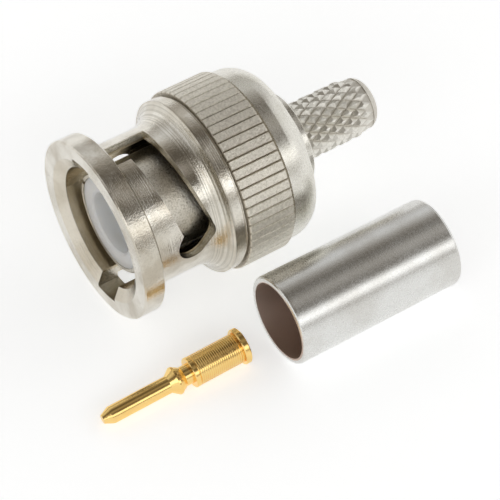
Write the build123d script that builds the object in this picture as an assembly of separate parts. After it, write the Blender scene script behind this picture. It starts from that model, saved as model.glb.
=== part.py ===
from build123d import *
import os
from math import asin, atan2, cos, degrees, hypot, pi, radians, sin, sqrt

# A crimp coaxial plug with a bayonet coupling, as supplied: the plug lies on its side, and its crimp ferrule
# and its centre contact lie loose beside it on the same surface. Millimetres.
# X runs along the plug's axis from the mouth plane (x = 0) back to the cable end. Z is up. The plug's axis is
# y = z = 0, and angles about it are counted from +Y towards +Z.

# Fits and clearances, on the radius unless said
RUN_FIT = 0.05            # coupling sleeve's inner collar on the body's neck
WASHER_FIT = 0.06         # thrust washer on the same neck
SHOULDER_GAP = 0.10       # sleeve bore round the body's shoulder
END_PLAY = 0.10           # axial gap between the sleeve's rear face and the rear body
FACE_GAP = 0.04           # axial gap between the thrust washer and the sleeve's collar
SEAT_GAP = 0.02           # insulator and gasket in or on their seats
SLEEVE_TRAVEL = 0.50      # how far the sleeve can be pulled forward against the wave washer
EDGE = 0.12               # broken edges of turned parts

# Coupling sleeve: one turned piece with ring, slotted barrel, flange and knurled grip
R_RING, RING_L = 7.17, 1.74
R_BARREL = 5.64
R_BORE = 4.92             # takes a jack shell of 9.60 to 9.70 mm
R_MOUTH, MOUTH_L = 5.83, 0.55
FILLET_R = 2.0            # hollow that rises from the barrel to the flange
R_FLANGE, FLANGE_X = 6.98, 7.93
GROOVE_X = 8.78
R_NECKING = 6.80          # bottom of the narrow groove in front of the grip
R_GRIP, GRIP_X, GRIP_END = 7.25, 9.02, 12.95
GRIP_TEETH = 60
GRIP_GROOVE_W, GRIP_GROOVE_D = 0.17, 0.14
COLLAR_L = 1.00           # inner collar at the sleeve's rear end

# Bayonet slots: an entry leg along the axis, a rising ramp and a hooked end, all as wide as the lug needs
LUG_R = 1.0               # radius of the jack's lug
SLOT_W = 2.0 * LUG_R + 0.44
R_NOTCH = 6.05            # floor of the entry notch in the ring, clear of the 11.0 mm lug circle
ENTRY_ANGLE = 77.0
ENTRY_DEPTH = 5.93
RAMP_X0, RAMP_X1 = 4.70, 5.76
RAMP_ANGLE = 166.0
HOOK_X, HOOK_ANGLE = 5.10, 174.0
RAMP_STEPS = 11

# Body parts
CONTACT_X = 1.35          # front end of the outer contact
R_CONTACT, CONTACT_WALL = 3.97, 0.27
R_BEAD, BEAD_L = 4.05, 0.85
FINGERS, FINGER_SLOT, FINGER_L = 2, 0.50, 6.4
FINGER_ANGLE = 20.0
R_SHOULDER = R_BORE - SHOULDER_GAP
SHOULDER_X = 10.20        # the jack's shell comes up to here
STEP_WALL = 0.30          # left between the insulator's seat and the shoulder's rear face
R_NECK = 3.55
NECK_END = 15.20
R_NECK_BORE = 2.90

# Rear shell and crimp stem
R_REAR, REAR_EDGE_X = 6.92, 14.10
REAR_X = GRIP_END + END_PLAY
REAR_BACK_X, R_REAR_BACK = 15.45, 6.30
BOSS_X, BOSS_END, R_BOSS = 16.60, 17.10, 3.85
R_STEM, STEM_END, R_STEM_END = 2.22, 24.4, 1.62
R_STEM_BORE = 1.53        # for a cable core of 3.0 mm

# Diamond knurl on the crimp stem
KNURL_ROUND, KNURL_ROWS = 17, 8
KNURL_X0, KNURL_HALF = 18.10, 0.72
R_KNURL_FLOOR, R_KNURL_TOP = 2.03, 2.30
KNURL_FLAT = 0.30         # size of a tooth's flat top against its base
NOSE_DROP = 0.15          # how much lower the last row is, where the stem's nose is rounded
KNURL_SINK = 0.06         # how far the knurl's ends reach into the plain stem

# Insulator, gasket, washers
INSULATOR_X = 1.38
R_SOCKET, SOCKET_END = 2.47, 9.90
R_SNAP, SNAP_END = 0.82, 10.90
R_CONTACT_HOLE = 1.25
GASKET_L, R_GASKET = 0.55, 4.70
WASHER_L, R_WASHER = 0.20, 4.72
WAVE_T, WAVES, WAVE_IN, WAVE_OUT = 0.16, 3, 3.72, 4.66
WASHER_X = GRIP_END - COLLAR_L - FACE_GAP - WASHER_L
SHOULDER_BACK = WASHER_X - SLEEVE_TRAVEL - WAVE_T - 0.05
NECK_STEP_X = SHOULDER_BACK - STEP_WALL

# Loose pieces
R_FERRULE, R_FERRULE_BORE, FERRULE_L = 3.53, 3.05, 14.0
FERRULE_AT, FERRULE_YAW = (8.25, -12.0), -0.5
R_ROD, R_TIP, TIP_L = 0.685, 0.34, 0.75
ROD_END, COLLAR_X, R_COLLAR, NECK_X, R_PIN_NECK = 5.50, 6.12, 1.10, 6.72, 0.78
BARREL_X, R_PIN_BARREL, BARREL_END = 7.32, 1.20, 11.30
HEAD_X, R_HEAD, PIN_L = 11.42, 1.43, 11.92
R_WIRE, WIRE_L = 0.45, 4.2
PIN_AT, PIN_YAW = (-6.12, -10.72), -1.4

FLOOR = -R_GRIP           # the surface that all three pieces lie on

os.makedirs("parts", exist_ok=True)


def turned(*outline):
    """A solid of revolution about X from (x, radius) corners."""
    return revolve(make_face(Polyline(*outline, close=True)), Axis.X, 360)


def tube(x0, x1, r_out, r_in):
    return turned((x0, r_in), (x0, r_out), (x1, r_out), (x1, r_in))


def about_axis(shape, angle):
    return Rot(angle, 0, 0) * shape


def radial_frame(x, angle):
    """Plane through the axis point x, facing outwards at this angle, with its own x along the plug."""
    a = radians(angle)
    return Plane(origin=(x, 0, 0), x_dir=(1, 0, 0), z_dir=(0, cos(a), sin(a)))


def faceted(polygons):
    """A solid closed by flat faces, each given by its corners."""
    return Solid(Shell([Face(Wire.make_polygon(p, close=True)) for p in polygons]))


def on_axis(x, r, angle):
    return Vector(x, r * cos(angle), r * sin(angle))


def sleeve_blank():
    run = FLANGE_X - fillet_start()
    mid, rim = (R_BARREL + FILLET_R - sqrt(FILLET_R**2 - at**2) for at in (0.62 * run, run))
    collar_x = GRIP_END - COLLAR_L
    front = Polyline(
        (MOUTH_L, R_BORE), (0, R_MOUTH), (0, R_RING - EDGE), (EDGE, R_RING), (RING_L - EDGE, R_RING),
        (RING_L, R_RING - EDGE), (RING_L, R_BARREL), (fillet_start(), R_BARREL))
    hollow = ThreePointArc((fillet_start(), R_BARREL), (fillet_start() + 0.62 * run, mid), (FLANGE_X, rim))
    core = R_GRIP - 2 * GRIP_GROOVE_D
    rear = Polyline(
        (FLANGE_X, rim), (FLANGE_X, R_FLANGE), (GROOVE_X, R_FLANGE), (GROOVE_X, R_NECKING),
        (GRIP_X, R_NECKING), (GRIP_X, core), (GRIP_END, core), (GRIP_END, R_NECK + RUN_FIT),
        (collar_x, R_NECK + RUN_FIT), (collar_x, R_BORE), (MOUTH_L, R_BORE))
    return revolve(make_face(front + hollow + rear), Axis.X, 360)


def fillet_start():
    """Where the hollow leaves the barrel, so that it meets the flange's front edge at the rim."""
    rim = R_FLANGE - EDGE / 2 - R_BARREL
    return FLANGE_X - sqrt(2 * FILLET_R * rim - rim**2)


def grip_ring():
    """Straight knurl: flat-topped teeth parted by narrow V grooves, with both ends broken."""
    pitch = 2 * pi / GRIP_TEETH
    half = GRIP_GROOVE_W / 2 / R_GRIP
    broken = 1 - EDGE / R_GRIP

    def ring(x, share):
        points = []
        for i in range(GRIP_TEETH):
            points += [on_axis(x, share * (R_GRIP - GRIP_GROOVE_D), i * pitch),
                       on_axis(x, share * R_GRIP, i * pitch + half),
                       on_axis(x, share * R_GRIP, (i + 1) * pitch - half)]
        return points

    rings = [ring(GRIP_X, broken), ring(GRIP_X + EDGE, 1), ring(GRIP_END - EDGE, 1), ring(GRIP_END, broken)]
    flats = [rings[0], rings[-1]]
    for low, high in zip(rings, rings[1:]):
        for i in range(len(low)):
            flats.append([low[i - 1], low[i], high[i], high[i - 1]])
    return faceted(flats) - tube(GRIP_X - 1, GRIP_END + 1, R_GRIP - 3 * GRIP_GROOVE_D, 0)


def slot_section(x, angle, width):
    """Rectangle in the plane through the axis at this angle: along X by the radius."""
    a = radians(angle)
    ring = [(x + sx * width / 2, r * cos(a), r * sin(a))
            for sx, r in ((-1, R_BORE - 0.8), (1, R_BORE - 0.8), (1, R_RING + 1), (-1, R_RING + 1))]
    return Face(Wire.make_polygon(ring, close=True))


def slot_cutter():
    leg = Pos(ENTRY_DEPTH / 2 - 1, 0, R_BORE) * Box(ENTRY_DEPTH + 2, SLOT_W, 6)
    entry = about_axis(leg, ENTRY_ANGLE - 90)
    entry &= tube(-3, ENTRY_DEPTH, R_NOTCH, R_BORE - 0.8)
    span = RAMP_ANGLE - ENTRY_ANGLE
    sections = []
    for i in range(RAMP_STEPS + 1):
        s = i / RAMP_STEPS
        slope = 2 * s * (RAMP_X1 - RAMP_X0) / radians(span) / R_BARREL
        stretch = sqrt(1 + slope**2) if i < RAMP_STEPS else 1     # the last one meets the drilled end
        sections.append(slot_section(RAMP_X0 + (RAMP_X1 - RAMP_X0) * s * s, ENTRY_ANGLE + span * s,
                                     SLOT_W * stretch))
    ramp = loft(sections, ruled=True)
    # the hook: two drilled ends joined by a short straight run
    mid_angle = (RAMP_ANGLE + HOOK_ANGLE) / 2
    across = radians(HOOK_ANGLE - RAMP_ANGLE) * R_BARREL
    along = HOOK_X - RAMP_X1
    # in the radial frame, a growing angle points along minus y
    outline = Rot(0, 0, degrees(atan2(-across, along))) * SlotCenterToCenter(hypot(across, along), SLOT_W)
    plane = radial_frame((RAMP_X1 + HOOK_X) / 2, mid_angle)
    hook = extrude(plane.offset(R_BORE - 0.8) * outline, R_RING - R_BORE + 1.8)
    return entry, ramp, hook


def coupling_sleeve():
    sleeve = sleeve_blank() + grip_ring()
    for turn in (0, 180):
        for cutter in slot_cutter():
            sleeve -= about_axis(cutter, turn)
    return sleeve


def outer_contact():
    """Slotted contact, shoulder and neck, turned in one piece."""
    r_in = R_CONTACT - CONTACT_WALL
    bead_end = CONTACT_X + BEAD_L
    body = turned(
        (CONTACT_X, r_in), (CONTACT_X, R_BEAD - EDGE), (CONTACT_X + EDGE, R_BEAD), (bead_end, R_BEAD),
        (bead_end + 0.3, R_CONTACT), (SHOULDER_X, R_CONTACT), (SHOULDER_X, R_SHOULDER),
        (SHOULDER_BACK, R_SHOULDER), (SHOULDER_BACK, R_NECK), (NECK_END, R_NECK),
        (NECK_END, R_NECK_BORE), (NECK_STEP_X, R_NECK_BORE), (NECK_STEP_X, r_in))
    for i in range(FINGERS):
        slot = Pos(CONTACT_X + FINGER_L / 2 - 0.5, R_CONTACT, 0) * Box(FINGER_L + 1, 2.0, FINGER_SLOT)
        body -= about_axis(slot, FINGER_ANGLE + i * 360 / FINGERS)
    return body


def knurl_tooth(row, place):
    """Flat faces of one raised diamond. Its foot runs from groove to groove, and its top is a small flat."""
    half_angle = pi / KNURL_ROUND
    x, angle = KNURL_X0 + row * KNURL_HALF, (2 * place + row % 2) * half_angle
    top = R_KNURL_TOP - (NOSE_DROP if row == KNURL_ROWS - 1 else 0)
    side_r, side_w = R_KNURL_FLOOR * cos(half_angle), R_KNURL_FLOOR * sin(half_angle)
    foot = ((-KNURL_HALF, 0, R_KNURL_FLOOR), (0, side_w, side_r),
            (KNURL_HALF, 0, R_KNURL_FLOOR), (0, -side_w, side_r))
    flat = [(a * KNURL_FLAT, t * KNURL_FLAT, top + (r - R_KNURL_FLOOR) * KNURL_FLAT) for a, t, r in foot]

    def put(point):
        a, t, r = point
        return Vector(x + a, r * cos(angle) - t * sin(angle), r * sin(angle) + t * cos(angle))

    foot, flat = [put(p) for p in foot], [put(p) for p in flat]
    sides = [[foot[i - 1], foot[i], flat[i], flat[i - 1]] for i in range(4)]
    return sides + [flat[:3], [flat[0], flat[2], flat[3]]]


def stem_knurl():
    """Rolled diamond knurl: staggered rows of teeth that meet in the grooves, with a flat at each end."""
    step = 2 * pi / KNURL_ROUND
    faces = [face for row in range(KNURL_ROWS) for i in range(KNURL_ROUND) for face in knurl_tooth(row, i)]
    for row, outward in ((0, -1), (KNURL_ROWS - 1, 1)):
        x = KNURL_X0 + row * KNURL_HALF
        start = (row % 2) / 2 * step
        end = x + outward * KNURL_HALF
        tips = [on_axis(end, R_KNURL_FLOOR, start + i * step) for i in range(KNURL_ROUND)]
        valleys = [on_axis(x, R_KNURL_FLOOR, start + (i - 0.5) * step) for i in range(KNURL_ROUND)]
        faces += [[tips[i - 1], valleys[i], tips[i]] for i in range(KNURL_ROUND)] + [tips]
    return faceted(faces)


def rear_body():
    """Rear shell with its boss, and the crimp stem, turned in one piece and pressed on the neck."""
    core = R_KNURL_FLOOR - 2 * KNURL_SINK
    knurl_x0 = KNURL_X0 - KNURL_HALF + KNURL_SINK
    knurl_x1 = KNURL_X0 + KNURL_HALF * KNURL_ROWS - KNURL_SINK
    cylinder = Polyline((REAR_X, R_NECK), (REAR_X, R_REAR - EDGE), (REAR_X + EDGE, R_REAR), (REAR_EDGE_X, R_REAR))
    shoulder = ThreePointArc((REAR_EDGE_X, R_REAR), (REAR_EDGE_X + 0.73, R_REAR - 0.18),
                             (REAR_BACK_X, R_REAR_BACK))
    hollow = Spline((REAR_BACK_X, R_REAR_BACK), (BOSS_X, R_BOSS), tangents=((0.1, -1), (0.9, -0.4)))
    stem = Polyline((BOSS_X, R_BOSS), (BOSS_END - EDGE, R_BOSS), (BOSS_END, R_BOSS - EDGE), (BOSS_END, R_STEM),
                    (knurl_x0, R_STEM), (knurl_x0, core), (knurl_x1, core), (knurl_x1, R_KNURL_FLOOR + 0.05))
    nose = Spline((knurl_x1, R_KNURL_FLOOR + 0.05), (STEM_END, R_STEM_END), tangents=((1, -0.2), (0.6, -0.8)))
    inside = Polyline((STEM_END, R_STEM_END), (STEM_END, 0), (NECK_END, 0), (NECK_END, R_NECK),
                      (REAR_X, R_NECK))
    body = revolve(make_face(cylinder + shoulder + hollow + stem + nose + inside), Axis.X, 360)
    return body + stem_knurl() - tube(NECK_END - 1, STEM_END + 1, R_STEM_BORE, 0)


def insulator():
    r_front = R_CONTACT - CONTACT_WALL - SEAT_GAP
    r_rear = R_NECK_BORE - SEAT_GAP
    return turned(
        (INSULATOR_X, R_SOCKET + 0.15), (INSULATOR_X, r_front - 0.06), (INSULATOR_X + 0.06, r_front),
        (NECK_STEP_X, r_front), (NECK_STEP_X, r_rear), (NECK_END, r_rear), (NECK_END, R_CONTACT_HOLE),
        (SNAP_END, R_CONTACT_HOLE), (SNAP_END, R_SNAP), (SOCKET_END, R_SNAP), (SOCKET_END, R_SOCKET),
        (INSULATOR_X + 0.15, R_SOCKET))


def gasket():
    return tube(SHOULDER_X - GASKET_L, SHOULDER_X, R_GASKET, R_CONTACT + SEAT_GAP)


def thrust_washer():
    return tube(WASHER_X, WASHER_X + WASHER_L, R_WASHER, R_NECK + WASHER_FIT)


def wave_washer():
    """Spring steel ring, waved round its circumference, between the shoulder and the thrust washer."""
    mid, swing = (SHOULDER_BACK + WASHER_X) / 2, (WASHER_X - SHOULDER_BACK - WAVE_T) / 2 - 0.005

    def section(angle):
        a = radians(angle)
        x = mid + swing * cos(WAVES * a)
        pts = [(x + s * WAVE_T / 2, r * cos(a), r * sin(a))
               for s, r in ((-1, WAVE_IN), (1, WAVE_IN), (1, WAVE_OUT), (-1, WAVE_OUT))]
        return Face(Wire.make_polygon(pts, close=True))

    halves = [loft([section(start + 12 * i) for i in range(16)], ruled=True) for start in (0, 180)]
    return halves[0] + halves[1]


def crimp_ferrule():
    c = 0.14
    ring = turned((0, R_FERRULE_BORE), (0, R_FERRULE - c), (c / 2, R_FERRULE - c / 4), (c * 1.5, R_FERRULE),
                  (FERRULE_L - c * 1.5, R_FERRULE), (FERRULE_L - c / 2, R_FERRULE - c / 4),
                  (FERRULE_L, R_FERRULE - c), (FERRULE_L, R_FERRULE_BORE))
    return Pos(*FERRULE_AT, FLOOR + R_FERRULE) * Rot(0, 0, FERRULE_YAW) * ring


def centre_contact():
    """Turned pin with a snap collar and a crimp barrel, lying on its head and the barrel's front edge."""
    pin = turned(
        (0, 0), (0, R_TIP), (TIP_L * 0.8, R_ROD - 0.05), (TIP_L, R_ROD), (ROD_END, R_ROD),
        (COLLAR_X - 0.08, R_COLLAR), (COLLAR_X + 0.08, R_COLLAR), (NECK_X, R_PIN_NECK), (BARREL_X, R_PIN_NECK),
        (BARREL_X, R_PIN_BARREL - 0.06), (BARREL_X + 0.06, R_PIN_BARREL), (BARREL_X + 0.34, R_PIN_BARREL),
        (BARREL_X + 0.38, R_PIN_BARREL - 0.07), (BARREL_X + 0.46, R_PIN_BARREL - 0.02),
        (BARREL_END, R_PIN_BARREL - 0.02), (BARREL_END, R_PIN_BARREL - 0.16), (HEAD_X, R_PIN_BARREL - 0.16),
        (HEAD_X, R_HEAD - 0.08), (HEAD_X + 0.08, R_HEAD), (PIN_L - 0.08, R_HEAD), (PIN_L, R_HEAD - 0.08),
        (PIN_L, R_WIRE + 0.12), (PIN_L - 0.12, R_WIRE), (PIN_L - WIRE_L, R_WIRE), (PIN_L - WIRE_L - 0.2, 0))
    tilt = asin((R_HEAD - R_PIN_BARREL) / (HEAD_X - BARREL_X))
    lift = R_PIN_BARREL * cos(tilt) - BARREL_X * sin(tilt)
    return Pos(*PIN_AT, FLOOR + lift + 0.01) * Rot(0, -degrees(tilt), PIN_YAW) * pin


for name, build in (("coupling_sleeve", coupling_sleeve), ("outer_contact", outer_contact),
                    ("rear_body", rear_body), ("insulator", insulator), ("gasket", gasket),
                    ("wave_washer", wave_washer), ("thrust_washer", thrust_washer),
                    ("crimp_ferrule", crimp_ferrule), ("centre_contact", centre_contact)):
    export_step(build(), f"parts/{name}.step")
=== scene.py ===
from math import cos, radians, sin, tau

import bpy
from mathutils import Matrix, Vector


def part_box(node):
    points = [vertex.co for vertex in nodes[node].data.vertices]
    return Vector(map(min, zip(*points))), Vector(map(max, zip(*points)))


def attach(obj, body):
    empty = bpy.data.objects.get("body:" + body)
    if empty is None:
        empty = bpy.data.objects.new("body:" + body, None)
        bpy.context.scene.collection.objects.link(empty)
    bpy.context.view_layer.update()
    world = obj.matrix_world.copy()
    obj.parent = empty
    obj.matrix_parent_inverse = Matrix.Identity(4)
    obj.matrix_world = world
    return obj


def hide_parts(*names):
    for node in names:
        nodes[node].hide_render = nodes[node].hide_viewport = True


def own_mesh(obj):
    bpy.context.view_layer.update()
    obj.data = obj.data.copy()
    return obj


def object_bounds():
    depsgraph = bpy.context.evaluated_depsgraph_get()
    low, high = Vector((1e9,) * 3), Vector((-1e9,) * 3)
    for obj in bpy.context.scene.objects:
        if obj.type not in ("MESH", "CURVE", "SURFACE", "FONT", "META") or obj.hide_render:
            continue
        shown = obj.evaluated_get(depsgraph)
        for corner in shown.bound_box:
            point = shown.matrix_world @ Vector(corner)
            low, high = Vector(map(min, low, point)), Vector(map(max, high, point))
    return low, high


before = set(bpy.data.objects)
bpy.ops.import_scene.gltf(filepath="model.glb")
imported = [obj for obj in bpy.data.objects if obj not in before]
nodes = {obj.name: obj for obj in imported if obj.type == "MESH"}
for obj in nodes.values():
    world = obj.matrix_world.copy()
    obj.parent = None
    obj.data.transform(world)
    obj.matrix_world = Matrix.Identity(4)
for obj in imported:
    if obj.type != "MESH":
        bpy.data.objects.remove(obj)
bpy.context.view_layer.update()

# A bayonet coupling plug on its side, with its crimp ferrule and centre contact beside it on a pale surface.
# Metres. The plug's axis is X, its mouth faces -X, and Z is up.
MM = 0.001

# Places taken from the frame
FLOOR_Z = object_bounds()[0].z
SLEEVE_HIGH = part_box("coupling_sleeve")[1]
REAR_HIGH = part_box("rear_body")[1]
FERRULE_LOW, FERRULE_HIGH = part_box("crimp_ferrule")
CONTACT_LOW, CONTACT_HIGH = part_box("centre_contact")
GRIP_LENGTH = 3.95 * MM
GRIP_FRONT = SLEEVE_HIGH.x - GRIP_LENGTH
GRIP_RADIUS = SLEEVE_HIGH.z
STEM_LENGTH_MM = 7.1

# Camera, fitted to the photograph's circles and edges
CAMERA_AT = Vector((-51.79, -98.38, 124.74)) * MM
CAMERA_FACING = Vector((0.36438, 0.547, -0.7536)).normalized()
SENSOR_MM = 36.0
LENS_MM = 164.06


class Nodes:
    """Small helper that builds and joins shader nodes."""

    def __init__(self, tree):
        self.tree = tree
        tree.nodes.clear()

    def add(self, kind, props=None, **inputs):
        node = self.tree.nodes.new(kind)
        for name, value in (props or {}).items():
            setattr(node, name, value)
        for name, value in inputs.items():
            self.set(node, name.replace("_", " "), value)
        return node

    def set(self, node, name, value):
        socket = node.inputs[int(name)] if name.isdigit() else node.inputs[name]
        if isinstance(value, bpy.types.NodeSocket):
            self.tree.links.new(value, socket)
        else:
            socket.default_value = value

    def math(self, operation, a, b=0.0, clamp=False):
        node = self.tree.nodes.new("ShaderNodeMath")
        node.operation, node.use_clamp = operation, clamp
        self.set(node, "0", a)
        self.set(node, "1", b)
        return node.outputs[0]

    def noise(self, vector, scale, detail=2.0, roughness=0.5):
        node = self.add("ShaderNodeTexNoise", Scale=scale, Detail=detail, Roughness=roughness)
        self.set(node, "Vector", vector)
        return node.outputs["Fac"]

    def lines(self, along, scale, detail=3.0):
        """Noise that varies along one coordinate only, as a lathe tool leaves it."""
        node = self.add("ShaderNodeTexNoise", {"noise_dimensions": "1D"}, Scale=scale, Detail=detail, Roughness=0.6)
        self.set(node, "W", along)
        return node.outputs["Fac"]

    def ramp(self, factor, stops, interpolation="LINEAR"):
        node = self.tree.nodes.new("ShaderNodeValToRGB")
        node.color_ramp.interpolation = interpolation
        elements = node.color_ramp.elements
        while len(elements) < len(stops):
            elements.new(0.5)
        for element, (at, value) in zip(elements, stops):
            element.position = at
            element.color = value if len(value) == 4 else (*value, 1.0)
        self.set(node, "Fac", factor)
        return node.outputs["Color"]

    def mix(self, factor, a, b):
        node = self.add("ShaderNodeMix", {"data_type": "RGBA"})
        for index, value in ((0, factor), (6, a), (7, b)):
            if isinstance(value, bpy.types.NodeSocket):
                self.tree.links.new(value, node.inputs[index])
            else:
                node.inputs[index].default_value = value
        return node.outputs[2]

    def band(self, value, low, high, soft):
        """1 between low and high, falling to 0 over a soft edge."""
        rise = self.add("ShaderNodeMapRange", {"interpolation_type": "SMOOTHSTEP"})
        for name, number in (("Value", value), ("From Min", low - soft), ("From Max", low + soft)):
            self.set(rise, name, number)
        fall = self.add("ShaderNodeMapRange", {"interpolation_type": "SMOOTHSTEP"})
        for name, number in (("Value", value), ("From Min", high - soft), ("From Max", high + soft),
                             ("To Min", 1.0), ("To Max", 0.0)):
            self.set(fall, name, number)
        return self.math("MULTIPLY", rise.outputs[0], fall.outputs[0])


def material(name):
    made = bpy.data.materials.new(name)
    made.use_nodes = True
    return made, Nodes(made.node_tree)


def place(kit, axis_y=0.0, axis_z=0.0):
    """Object position in millimetres, the position along X, and the distance from an axis parallel to X."""
    where = kit.add("ShaderNodeTexCoord").outputs["Object"]
    scaled = kit.add("ShaderNodeVectorMath", {"operation": "SCALE"}, Scale=1.0 / MM)
    kit.set(scaled, "Vector", where)
    parts = kit.add("ShaderNodeSeparateXYZ")
    kit.set(parts, "Vector", scaled.outputs[0])
    y = kit.math("SUBTRACT", parts.outputs["Y"], axis_y / MM)
    z = kit.math("SUBTRACT", parts.outputs["Z"], axis_z / MM)
    squares = kit.math("ADD", kit.math("MULTIPLY", y, y), kit.math("MULTIPLY", z, z))
    return scaled.outputs[0], parts.outputs["X"], kit.math("SQRT", squares)


def bump(kit, height, depth_mm, normal=None):
    node = kit.add("ShaderNodeBump", Strength=1.0, Distance=depth_mm * MM)
    kit.set(node, "Height", height)
    if normal is not None:
        kit.set(node, "Normal", normal)
    return node.outputs["Normal"]


def finish_surface(kit, made, color, roughness, normal, metallic=1.0, **fixed):
    shader = kit.add("ShaderNodeBsdfPrincipled")
    kit.set(shader, "Base Color", color)
    kit.set(shader, "Roughness", roughness)
    kit.set(shader, "Metallic", metallic)
    kit.set(shader, "Normal", normal)
    for name, value in fixed.items():
        kit.set(shader, name.replace("_", " "), value)
    out = kit.add("ShaderNodeOutputMaterial")
    kit.set(out, "Surface", shader.outputs[0])
    return made


def turned_nickel(name, light, dark, roughness, grain_um, line_um, pitting=0.15, axis_y=0.0, axis_z=0.0,
                  zones=(), tarnish=0.0):
    """Nickel plate over turned brass: lathe lines round the axis, a fine grain, and brown tarnish in patches.

    Zones change the finish between two places along X and two distances from the axis, all in millimetres, and are
    the same all round; the bore's and the ferrule's inside zones also paint shade into the colour. Tarnish is how
    brown the patches are, which noise alone places.
    """
    made, kit = material(name)
    where, along, radius = place(kit, axis_y, axis_z)
    stain = kit.ramp(kit.noise(where, 0.35, 3.0), ((0.35, (0, 0, 0)), (0.68, (1, 1, 1))), "EASE")
    grain = kit.noise(where, 7.5, 2.0, 0.7)
    color = kit.mix(stain, (*light, 1.0), (*dark, 1.0))
    if tarnish:
        patches = kit.ramp(kit.noise(where, 0.45, 4.0), ((0.48, (0, 0, 0)), (0.66, (1, 1, 1))), "EASE")
        color = kit.mix(kit.math("MULTIPLY", patches, tarnish), color, (*TARNISH, 1.0))
    pits = kit.ramp(grain, ((0.36, (1, 1, 1)), (0.5, (0, 0, 0))))
    color = kit.mix(kit.math("MULTIPLY", pits, pitting), color, (*PIT, 1.0))
    lines = kit.math("ADD", kit.lines(along, 8.0, 5.0), kit.lines(radius, 8.0, 5.0))
    normal = bump(kit, lines, line_um * MM)
    normal = bump(kit, grain, grain_um * MM, normal)
    rough = kit.math("ADD", kit.math("MULTIPLY", kit.noise(where, 6.0, 2.0), 0.16), roughness - 0.08)
    for zone in zones:
        inside = kit.math("MULTIPLY", kit.band(along, *zone["x"], 0.05), kit.band(radius, *zone["r"], 0.03))
        sand = kit.noise(where, zone["grain"], 3.0, 0.7)
        specks = kit.ramp(sand, ((0.44, (0, 0, 0)), (0.60, (1, 1, 1))))
        sandy = kit.mix(kit.math("MULTIPLY", specks, zone["mottle"]), (*zone["color"], 1.0), (*PIT, 1.0))
        color = kit.mix(kit.math("MULTIPLY", inside, zone["tint"]), color, sandy)
        if zone["scratch"]:
            cuts = kit.ramp(kit.lines(along, 7.0, 4.0), ((0.47, (0, 0, 0)), (0.56, (1, 1, 1))))
            worn = kit.math("MULTIPLY", kit.math("MULTIPLY", cuts, inside), zone["scratch"])
            color = kit.mix(worn, color, (*PIT, 1.0))
        rough = kit.math("ADD", rough, kit.math("MULTIPLY", inside, zone["rough"]))
        normal = bump(kit, kit.math("MULTIPLY", sand, inside), zone["depth_um"] * MM, normal)
    return finish_surface(kit, made, color, rough, normal)


BARREL_FROM_TIP_MM, BARREL_FROM_BACK_MM = 7.7, 0.7        # where the contact's crimp barrel begins and ends
RIDGE_PITCH_MM, RIDGE_DEPTH_MM = 0.17, 0.014


def gold():
    """Gold plate over the turned contact, with fine ridges left on the crimp barrel and painted shade in stripes
    along them.
    """
    made, kit = material("gold_plate")
    where, along, _ = place(kit)
    barrel = kit.band(along, CONTACT_LOW.x / MM + BARREL_FROM_TIP_MM, CONTACT_HIGH.x / MM - BARREL_FROM_BACK_MM, 0.03)
    ridge = kit.math("MULTIPLY", kit.math("SINE", kit.math("MULTIPLY", along, tau / RIDGE_PITCH_MM)), barrel)
    normal = bump(kit, ridge, RIDGE_DEPTH_MM)
    normal = bump(kit, kit.lines(along, 6.0), 0.004, normal)
    normal = bump(kit, kit.noise(where, 8.0, 2.0), 0.003, normal)
    color = kit.mix(kit.noise(where, 0.8, 2.0), (1.0, 0.73, 0.29, 1.0), (0.90, 0.58, 0.19, 1.0))
    # Painted shade: darker stripes of colour that follow the ridges.
    ridge_top = kit.math("ADD", kit.math("MULTIPLY", ridge, 0.5), kit.math("MULTIPLY", barrel, 0.5))
    painted_rib_shade = kit.math("MULTIPLY", ridge_top, 0.34)
    color = kit.mix(painted_rib_shade, color, (0.62, 0.36, 0.09, 1.0))
    rough = kit.math("ADD", kit.math("MULTIPLY", kit.noise(where, 4.0), 0.10), 0.13)
    return finish_surface(kit, made, color, rough, normal)


def insulator():
    """Milky fluoropolymer, a little translucent, with soft tool marks on its faces."""
    made, kit = material("insulator_polymer")
    where, _, radius = place(kit)
    color = kit.mix(kit.noise(where, 0.9, 2.0), (0.93, 0.95, 0.96, 1.0), (0.89, 0.92, 0.94, 1.0))
    normal = bump(kit, kit.lines(radius, 6.0), 0.004)
    normal = bump(kit, kit.noise(where, 3.0, 2.0), 0.006, normal)
    rough = kit.math("ADD", kit.math("MULTIPLY", kit.noise(where, 5.0), 0.12), 0.30)
    return finish_surface(kit, made, color, rough, normal, metallic=0.0, Subsurface_Weight=0.8,
                          Subsurface_Radius=(1.0, 1.05, 1.15), Subsurface_Scale=0.0014, IOR=1.38)


def rubber():
    """Dark silicone with a dull, slightly dusty skin."""
    made, kit = material("silicone")
    where, _, _ = place(kit)
    color = kit.mix(kit.noise(where, 2.0, 3.0), (0.10, 0.095, 0.09, 1.0), (0.16, 0.15, 0.14, 1.0))
    normal = bump(kit, kit.noise(where, 9.0, 3.0), 0.006)
    rough = kit.math("ADD", kit.math("MULTIPLY", kit.noise(where, 4.0), 0.15), 0.5)
    return finish_surface(kit, made, color, rough, normal, metallic=0.0)


def dress(node, made):
    mesh = nodes[node].data
    for i in range(len(mesh.materials)):
        mesh.materials[i] = made


# Colours of each plating, clean and stained
PLUG_LIGHT, PLUG_DARK = (0.75, 0.72, 0.65), (0.56, 0.52, 0.44)
REAR_LIGHT, REAR_DARK = (0.76, 0.74, 0.68), (0.64, 0.62, 0.55)
TUBE_LIGHT, TUBE_DARK = (0.74, 0.74, 0.72), (0.65, 0.64, 0.61)
STEEL_LIGHT, STEEL_DARK = (0.52, 0.52, 0.53), (0.42, 0.42, 0.42)
CONTACT_LIGHT, CONTACT_DARK = (0.77, 0.74, 0.67), (0.60, 0.56, 0.48)
TARNISH, PIT = (0.38, 0.32, 0.23), (0.24, 0.21, 0.14)
ferrule_y = (FERRULE_LOW.y + FERRULE_HIGH.y) / 2
ferrule_z = (FERRULE_LOW.z + FERRULE_HIGH.z) / 2
OUT = 50.0                # further than any place on the parts, in millimetres


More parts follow.
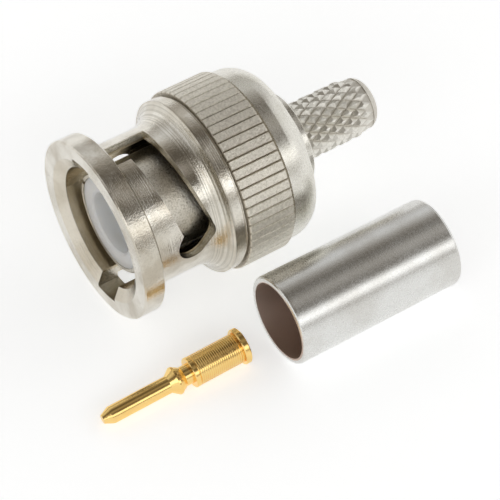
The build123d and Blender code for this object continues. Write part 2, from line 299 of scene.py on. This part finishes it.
def zone(x, r, tint, color, rough, grain, depth_um, mottle=0.0, scratch=0.0):
    """A finish, in some zones with painted shade, between two places along X and two distances from the axis, in
    millimetres.

    Tint is how much of the color it takes, rough is added roughness, grain is the scale of its noise and depth_um
    the height of that noise's bump. Mottle and scratch are how dark its specks and its lathe scratches are.
    """
    return {"x": x, "r": r, "tint": tint, "color": color, "rough": rough, "grain": grain, "depth_um": depth_um,
            "mottle": mottle, "scratch": scratch}


grip_x, grip_r = (GRIP_FRONT / MM, OUT), GRIP_RADIUS / MM
stem_x = (REAR_HIGH.x / MM - STEM_LENGTH_MM, OUT)
# Blasted matt, and darker at the bottom of the knurls
GRIP = zone(grip_x, (grip_r - 0.5, OUT), 0.90, (0.80, 0.76, 0.67), 0.24, 5.5, 90.0, 0.30)
GROOVES = zone(grip_x, (grip_r - 0.5, grip_r - 0.085), 0.58, (0.23, 0.18, 0.11), 0.10, 6.5, 0.0)
STEM = zone(stem_x, (1.8, OUT), 0.9, (0.82, 0.80, 0.74), 0.14, 6.0, 16.0, 0.12)
STEM_FLOOR = zone(stem_x, (1.8, 2.07), 0.45, (0.46, 0.42, 0.36), 0.06, 8.0, 0.0)
# The plate is thin in the bore and on the slots' milled walls, and the brass shows through
# The bore's dark brown is partly that brass and partly painted shade of the hollow inside the sleeve.
BORE_BRASS_AND_PAINTED_SHADE = zone((0.6, OUT), (-1.0, 5.12), 0.75, (0.50, 0.42, 0.28), 0.0, 5.0, 8.0)
CONE = zone((-OUT, 0.55), (-1.0, 5.80), 0.40, (0.60, 0.53, 0.41), 0.0, 5.0, 8.0)
WALL = zone((2.0, OUT), (5.12, 5.58), 0.45, (0.74, 0.70, 0.58), 0.12, 5.0, 40.0, 0.40)
HOLLOW = zone((6.4, 7.9), (5.7, OUT), 0.3, (0.78, 0.76, 0.70), -0.02, 6.0, 8.0, scratch=0.34)
LINE = zone((7.96, 8.03), (6.7, OUT), 0.55, (0.28, 0.24, 0.18), 0.05, 6.0, 2.0)
# Painted shade: the ferrule's inside is tinted dark brown for the shade in the tube's hollow.
TUBE_INSIDE_PAINTED_SHADE = zone((-OUT, OUT), (-1.0, 3.15), 0.85, (0.55, 0.42, 0.35), 0.28, 5.0, 6.0)

dress("coupling_sleeve", turned_nickel("nickel_sleeve", PLUG_LIGHT, PLUG_DARK, 0.13, 14.0, 14.0,
                                       zones=(GRIP, GROOVES, BORE_BRASS_AND_PAINTED_SHADE, CONE, WALL, HOLLOW, LINE), tarnish=0.45))
dress("rear_body", turned_nickel("nickel_rear", REAR_LIGHT, REAR_DARK, 0.27, 8.0, 4.0, zones=(STEM, STEM_FLOOR)))
dress("outer_contact", turned_nickel("nickel_contact", CONTACT_LIGHT, CONTACT_DARK, 0.30, 40.0, 5.0, 0.50))
dress("thrust_washer", turned_nickel("nickel_washer", PLUG_LIGHT, PLUG_DARK, 0.25, 8.0, 3.0))
dress("wave_washer", turned_nickel("spring_steel", STEEL_LIGHT, STEEL_DARK, 0.28, 8.0, 2.0))
dress("crimp_ferrule", turned_nickel("nickel_ferrule", TUBE_LIGHT, TUBE_DARK, 0.26, 4.0, 1.5, 0.08,
                                     ferrule_y, ferrule_z, zones=(TUBE_INSIDE_PAINTED_SHADE,)))
dress("centre_contact", gold())
dress("insulator", insulator())
dress("gasket", rubber())


# The light: a tent that is the same all along X. Each pair is an angle about X, from +Y (0) up over +Z (90) to -Y
# (180), and a level. The level of a lamp is on the same scale.
TENT = ((-180, 0.62), (-165, 0.80), (-90, 0.92), (-15, 0.80), (0, 0.50), (18, 0.50), (30, 0.70), (42, 0.80),
        (54, 0.52), (66, 0.24), (78, 0.11), (88, 0.13), (97, 0.30), (106, 0.36), (114, 0.24), (124, 0.11),
        (132, 0.18), (138, 0.90), (142, 1.75), (152, 1.80), (158, 1.00), (163, 0.50), (170, 0.36), (176, 0.42),
        (180, 0.62))
TENT_SCALE = 2.4          # the level that the ramp's white stands for
# Round soft lamps: direction, half width and soft edge in degrees, level
LAMPS = (((-0.85, -0.34, 0.41), 13.0, 4.0, 2.0),      # high in front of the mouth
         ((0.86, -0.10, 0.50), 27.0, 9.0, 1.0))       # a large one past the cable end


def tent_color(level):
    """The bright cloth is white. Where the level is low, the room behind it is a warm brown."""
    warm = max(0.0, 1.0 - level / 0.7)
    return tuple(level / TENT_SCALE * (1.0 - warm * loss) for loss in (0.0, 0.15, 0.34))


def light_tent():
    world = bpy.data.worlds.new("tent")
    world.use_nodes = True
    bpy.context.scene.world = world
    kit = Nodes(world.node_tree)
    around = kit.add("ShaderNodeTexCoord").outputs["Generated"]
    direction = kit.add("ShaderNodeSeparateXYZ")
    kit.set(direction, "Vector", around)
    angle = kit.math("ARCTAN2", direction.outputs["Z"], direction.outputs["Y"])
    turn = kit.math("ADD", kit.math("DIVIDE", angle, radians(360)), 0.5)
    grey = kit.ramp(turn, [(a / 360 + 0.5, tent_color(v)) for a, v in TENT])
    for toward_lamp, half, edge, level in LAMPS:
        toward = kit.add("ShaderNodeVectorMath", {"operation": "DOT_PRODUCT"})
        kit.set(toward, "0", around)
        toward.inputs[1].default_value = Vector(toward_lamp).normalized()
        lamp = kit.add("ShaderNodeMapRange", {"interpolation_type": "SMOOTHSTEP"})
        kit.set(lamp, "Value", toward.outputs["Value"])
        kit.set(lamp, "From Min", cos(radians(half + edge)))
        kit.set(lamp, "From Max", cos(radians(half - edge)))
        grey = kit.mix(lamp.outputs[0], grey, (*tent_color(level), 1.0))
    tent = kit.add("ShaderNodeBackground", Strength=TENT_SCALE)
    kit.set(tent, "Color", grey)
    out = kit.add("ShaderNodeOutputWorld")
    kit.set(out, "Surface", tent.outputs[0])


SWEEP_RADIUS = 1.5        # the floor's outer edge
SWEEP_RISE = 0.25         # radius of the curve in which that edge turns up, past the horizon of a low view
SWEEP_STEPS, SWEEP_SIDES = 12, 96
FLOOR_WHITE = 0.84
FLOOR_LIFT = 0.55         # added to the lit floor for camera, glossy and transmission rays, not for diffuse ones
FLOOR_TINT = (0.965, 0.985, 1.0, 1.0)


def floor():
    """A round sheet under the object, with its edge swept up, so that low views and metal both show it behind."""
    rings = []
    for step in range(SWEEP_STEPS + 1):
        a = radians(90 * step / SWEEP_STEPS)
        rings.append((SWEEP_RADIUS - SWEEP_RISE + SWEEP_RISE * sin(a), FLOOR_Z + SWEEP_RISE * (1 - cos(a))))
    n = SWEEP_SIDES
    points, faces = [], [tuple(range(n))]
    for r, z in rings:
        points += [(r * cos(radians(360 * i / n)), r * sin(radians(360 * i / n)), z) for i in range(n)]
    for k in range(SWEEP_STEPS):
        faces += [(k * n + i, (k + 1) * n + i, (k + 1) * n + (i + 1) % n, k * n + (i + 1) % n) for i in range(n)]
    mesh = bpy.data.meshes.new("floor")
    mesh.from_pydata(points, [], faces)
    for polygon in mesh.polygons[1:]:
        polygon.use_smooth = True
    sweep = bpy.data.objects.new("floor", mesh)
    bpy.context.scene.collection.objects.link(sweep)
    made, kit = material("floor_white")
    diffuse = kit.add("ShaderNodeBsdfDiffuse", Color=(FLOOR_WHITE, FLOOR_WHITE, FLOOR_WHITE, 1.0))
    path = kit.add("ShaderNodeLightPath")
    glow = kit.add("ShaderNodeEmission", Color=FLOOR_TINT, Strength=FLOOR_LIFT)
    both = kit.add("ShaderNodeAddShader")
    kit.tree.links.new(diffuse.outputs[0], both.inputs[0])
    kit.tree.links.new(glow.outputs[0], both.inputs[1])
    seen = kit.math("ADD", path.outputs["Is Camera Ray"],
                    kit.math("ADD", path.outputs["Is Glossy Ray"], path.outputs["Is Transmission Ray"]), True)
    mixed = kit.add("ShaderNodeMixShader")
    kit.tree.links.new(seen, mixed.inputs[0])
    kit.tree.links.new(diffuse.outputs[0], mixed.inputs[1])
    kit.tree.links.new(both.outputs[0], mixed.inputs[2])
    out = kit.add("ShaderNodeOutputMaterial")
    kit.set(out, "Surface", mixed.outputs[0])
    mesh.materials.append(made)


def camera():
    data = bpy.data.cameras.new("camera")
    data.sensor_width, data.lens = SENSOR_MM, LENS_MM
    data.clip_start, data.clip_end = 0.01, 10.0
    shot = bpy.data.objects.new("camera", data)
    bpy.context.scene.collection.objects.link(shot)
    right = CAMERA_FACING.cross(Vector((0, 0, 1))).normalized()
    up = right.cross(CAMERA_FACING)
    turn = Matrix((right, up, -CAMERA_FACING)).transposed()
    shot.matrix_world = Matrix.Translation(CAMERA_AT) @ turn.to_4x4()
    bpy.context.scene.camera = shot


def wave_spring():
    """The wave washer, copied to its own mesh and carried by the plug body; it is not made to flatten against the
    body's shoulder when the sleeve is pulled forward, as the real one does.
    """
    made = nodes["wave_washer"].data.copy()
    made.name = "wave_spring"
    spring = bpy.data.objects.new("wave_spring", made)
    bpy.context.scene.collection.objects.link(spring)
    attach(spring, "plug_body")
    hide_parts("wave_washer")
    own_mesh(spring)


light_tent()
floor()
wave_spring()
camera()
bpy.context.scene.view_settings.view_transform = "Standard"
